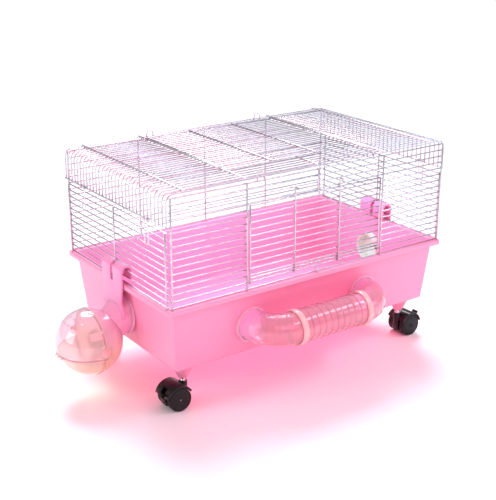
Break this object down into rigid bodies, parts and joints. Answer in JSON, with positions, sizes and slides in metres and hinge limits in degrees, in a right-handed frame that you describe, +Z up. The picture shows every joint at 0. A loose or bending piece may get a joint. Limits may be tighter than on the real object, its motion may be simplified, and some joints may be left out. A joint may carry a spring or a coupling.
{
  "type": "hamster cage",
  "caption": "Rectangular small-pet cage: moulded tray on casters, welded wire top with roof and front doors, an outside crawl tube, and a hinged ball room on one end.",
  "frame": {"origin": "middle of the whole object's footprint, on the floor under the wheels", "axes": "+Z up, X along the cage's length with the ball on the -X end, -Y towards the front with the door and the tube"},
  "size_m": [0.6838, 0.4084, 0.3825],
  "materials": {
    "tray_plastic": "satin moulded",
    "hanger_plastic": "satin moulded",
    "wire": "bright plated wire",
    "tube_clear": "clear tinted",
    "ring_peach": "gloss",
    "ball_pink": "clear tinted",
    "ball_peach": "clear tinted",
    "cap_clear": "clear tinted",
    "caster_black": "gloss",
    "wheel_black": "satin",
    "stem_chrome": "polished"
  },
  "bodies": {
    "base": {"tray": "tray_plastic", "front_panel": "wire", "back_panel": "wire", "left_end_panel": "wire", "right_end_panel": "wire", "hanger_left": "hanger_plastic", "hanger_right": "hanger_plastic", "ball_neck": "ball_pink", "ball_rear_shell": "ball_pink", "ball_bowl": "ball_peach", "ball_pivot_pins": "ball_pink", "elbow_left": "tube_clear", "elbow_right": "tube_clear", "tube_straight": "tube_clear", "tube_ring_left": "ring_peach", "tube_ring_right": "ring_peach", "wall_collar_left": "ring_peach", "wall_collar_right": "ring_peach", "port_cap": "cap_clear"},
    "roof": {"roof_panel": "wire"},
    "top_door": {"top_door": "wire"},
    "front_door": {"front_door": "wire"},
    "ball_visor": {"ball_visor": "ball_pink"},
    "latch_left_front": {"latch_left_front": "wire"},
    "latch_left_back": {"latch_left_back": "wire"},
    "latch_right_front": {"latch_right_front": "wire"},
    "latch_right_back": {"latch_right_back": "wire"},
    "latch_front_left": {"latch_front_left": "wire"},
    "latch_back_left": {"latch_back_left": "wire"},
    "latch_front_right": {"latch_front_right": "wire"},
    "latch_back_right": {"latch_back_right": "wire"},
    "caster_front_left_swivel": {"caster_front_left_stem": "stem_chrome", "caster_front_left_housing": "caster_black"},
    "caster_front_left_wheels": {"caster_front_left_axle": "stem_chrome", "caster_front_left_wheel_front": "wheel_black", "caster_front_left_wheel_back": "wheel_black"},
    "caster_front_left_brake": {"caster_front_left_brake_lever": "caster_black"},
    "caster_front_right_swivel": {"caster_front_right_stem": "stem_chrome", "caster_front_right_housing": "caster_black"},
    "caster_front_right_wheels": {"caster_front_right_axle": "stem_chrome", "caster_front_right_wheel_front": "wheel_black", "caster_front_right_wheel_back": "wheel_black"},
    "caster_front_right_brake": {"caster_front_right_brake_lever": "caster_black"},
    "caster_back_left_swivel": {"caster_back_left_stem": "stem_chrome", "caster_back_left_housing": "caster_black"},
    "caster_back_left_wheels": {"caster_back_left_axle": "stem_chrome", "caster_back_left_wheel_front": "wheel_black", "caster_back_left_wheel_back": "wheel_black"},
    "caster_back_left_brake": {"caster_back_left_brake_lever": "caster_black"},
    "caster_back_right_swivel": {"caster_back_right_stem": "stem_chrome", "caster_back_right_housing": "caster_black"},
    "caster_back_right_wheels": {"caster_back_right_axle": "stem_chrome", "caster_back_right_wheel_front": "wheel_black", "caster_back_right_wheel_back": "wheel_black"},
    "caster_back_right_brake": {"caster_back_right_brake_lever": "caster_black"}
  },
  "joints": [
    {"name": "roof_lift", "type": "slide", "parent": "base", "child": "roof", "axis": [0, 0, 1], "range_m": [0, 0.12]},
    {"name": "top_door_hinge", "type": "hinge", "parent": "roof", "child": "top_door", "pos_m": [-0.08905, 0.03425, 0.3744], "axis": [0, -1, 0], "range_deg": [0, 165]},
    {"name": "front_door_hinge", "type": "hinge", "parent": "base", "child": "front_door", "pos_m": [0.05095, -0.12975, 0.2033], "axis": [1, 0, 0], "range_deg": [0, 110]},
    {"name": "ball_visor_hinge", "type": "hinge", "parent": "base", "child": "ball_visor", "pos_m": [-0.28525, 0.03425, 0.0933], "axis": [0, -1, 0], "range_deg": [0, 80]},
    {"name": "latch_left_front_hinge", "type": "hinge", "parent": "roof", "child": "latch_left_front", "pos_m": [-0.23405, -0.07475, 0.323], "axis": [0, 1, 0], "range_deg": [0, 120]},
    {"name": "latch_left_back_hinge", "type": "hinge", "parent": "roof", "child": "latch_left_back", "pos_m": [-0.23405, 0.13235, 0.323], "axis": [0, 1, 0], "range_deg": [0, 120]},
    {"name": "latch_right_front_hinge", "type": "hinge", "parent": "roof", "child": "latch_right_front", "pos_m": [0.33595, -0.07475, 0.323], "axis": [0, -1, 0], "range_deg": [0, 120]},
    {"name": "latch_right_back_hinge", "type": "hinge", "parent": "roof", "child": "latch_right_back", "pos_m": [0.33595, 0.13235, 0.323], "axis": [0, -1, 0], "range_deg": [0, 120]},
    {"name": "latch_front_left_hinge", "type": "hinge", "parent": "roof", "child": "latch_front_left", "pos_m": [-0.06105, -0.12925, 0.3719], "axis": [1, 0, 0], "range_deg": [0, 90]},
    {"name": "latch_back_left_hinge", "type": "hinge", "parent": "roof", "child": "latch_back_left", "pos_m": [-0.06605, 0.19775, 0.3719], "axis": [-1, 0, 0], "range_deg": [0, 90]},
    {"name": "latch_front_right_hinge", "type": "hinge", "parent": "roof", "child": "latch_front_right", "pos_m": [0.16295, -0.12925, 0.3719], "axis": [1, 0, 0], "range_deg": [0, 90]},
    {"name": "latch_back_right_hinge", "type": "hinge", "parent": "roof", "child": "latch_back_right", "pos_m": [0.16795, 0.19775, 0.3719], "axis": [-1, 0, 0], "range_deg": [0, 90]},
    {"name": "caster_front_left_turn", "type": "hinge", "parent": "base", "child": "caster_front_left_swivel", "pos_m": [-0.18355, -0.08675, 0.06], "axis": [0, 0, 1], "continuous": true},
    {"name": "caster_front_left_roll", "type": "hinge", "parent": "caster_front_left_swivel", "child": "caster_front_left_wheels", "pos_m": [-0.20005, -0.08675, 0.02], "axis": [0, 1, 0], "continuous": true},
    {"name": "caster_front_left_brake_press", "type": "hinge", "parent": "caster_front_left_swivel", "child": "caster_front_left_brake", "pos_m": [-0.22165, -0.08675, 0.0272], "axis": [0, -1, 0], "range_deg": [0, 25]},
    {"name": "caster_front_right_turn", "type": "hinge", "parent": "base", "child": "caster_front_right_swivel", "pos_m": [0.28545, -0.08675, 0.06], "axis": [0, 0, 1], "continuous": true},
    {"name": "caster_front_right_roll", "type": "hinge", "parent": "caster_front_right_swivel", "child": "caster_front_right_wheels", "pos_m": [0.30195, -0.08675, 0.02], "axis": [0, 1, 0], "continuous": true},
    {"name": "caster_front_right_brake_press", "type": "hinge", "parent": "caster_front_right_swivel", "child": "caster_front_right_brake", "pos_m": [0.32355, -0.08675, 0.0272], "axis": [0, 1, 0], "range_deg": [0, 25]},
    {"name": "caster_back_left_turn", "type": "hinge", "parent": "base", "child": "caster_back_left_swivel", "pos_m": [-0.18355, 0.15525, 0.06], "axis": [0, 0, 1], "continuous": true},
    {"name": "caster_back_left_roll", "type": "hinge", "parent": "caster_back_left_swivel", "child": "caster_back_left_wheels", "pos_m": [-0.20005, 0.15525, 0.02], "axis": [0, 1, 0], "continuous": true},
    {"name": "caster_back_left_brake_press", "type": "hinge", "parent": "caster_back_left_swivel", "child": "caster_back_left_brake", "pos_m": [-0.22165, 0.15525, 0.0272], "axis": [0, -1, 0], "range_deg": [0, 25]},
    {"name": "caster_back_right_turn", "type": "hinge", "parent": "base", "child": "caster_back_right_swivel", "pos_m": [0.28545, 0.15525, 0.06], "axis": [0, 0, 1], "continuous": true},
    {"name": "caster_back_right_roll", "type": "hinge", "parent": "caster_back_right_swivel", "child": "caster_back_right_wheels", "pos_m": [0.30195, 0.15525, 0.02], "axis": [0, 1, 0], "continuous": true},
    {"name": "caster_back_right_brake_press", "type": "hinge", "parent": "caster_back_right_swivel", "child": "caster_back_right_brake", "pos_m": [0.32355, 0.15525, 0.0272], "axis": [0, 1, 0], "range_deg": [0, 25]}
  ]
}
